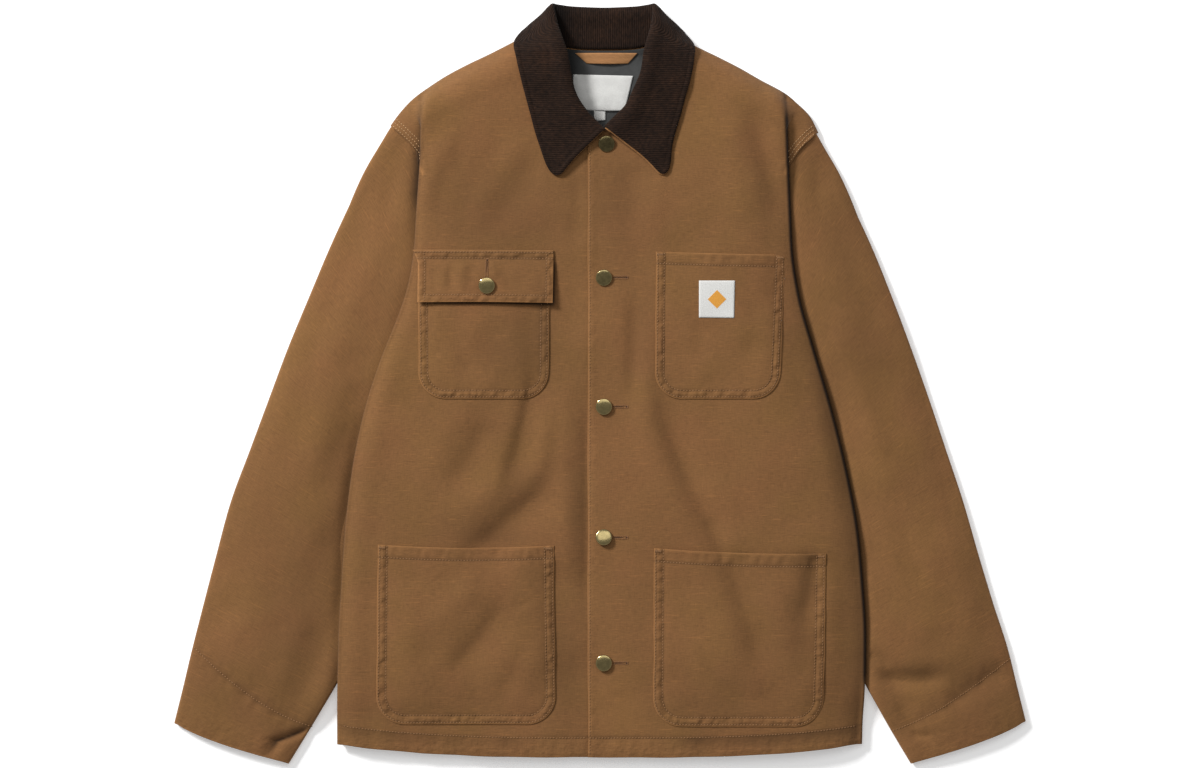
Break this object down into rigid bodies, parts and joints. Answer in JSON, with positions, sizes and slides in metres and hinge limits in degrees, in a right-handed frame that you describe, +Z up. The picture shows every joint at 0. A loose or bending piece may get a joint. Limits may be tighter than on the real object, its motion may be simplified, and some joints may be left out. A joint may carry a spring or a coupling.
{
  "type": "chore jacket",
  "caption": "Button-front work jacket in brown duck canvas, laid flat and face up, with a dark corduroy collar, patch pockets and brass buttons.",
  "frame": {"origin": "on the ground under the middle of the jacket's box", "axes": "+X to the wearer's left across the sleeves, +Y from the hem to the neck, +Z up through the layers"},
  "size_m": [0.8716, 0.7774, 0.0306],
  "materials": {
    "canvas": "matte duck canvas",
    "corduroy": "fine-wale cotton corduroy",
    "lining": "matte",
    "label": "matte woven",
    "brass": "aged"
  },
  "bodies": {
    "root": {"back": "canvas", "front_left": "canvas", "front_right": "canvas", "sleeve_left": "canvas", "sleeve_right": "canvas", "collar": "corduroy", "under_collar": "canvas", "back_neck_lining": "lining", "hanger_loop": "canvas", "neck_label": "label", "size_tab": "label", "chest_pocket_right": "canvas", "chest_flap_right": "canvas", "chest_pocket_left": "canvas", "pocket_patch": "label", "hip_pocket_right": "canvas", "hip_pocket_left": "canvas", "flap_button": "brass", "button_1": "brass", "button_2": "brass", "button_3": "brass", "button_4": "brass", "button_5": "brass"}
  },
  "joints": []
}
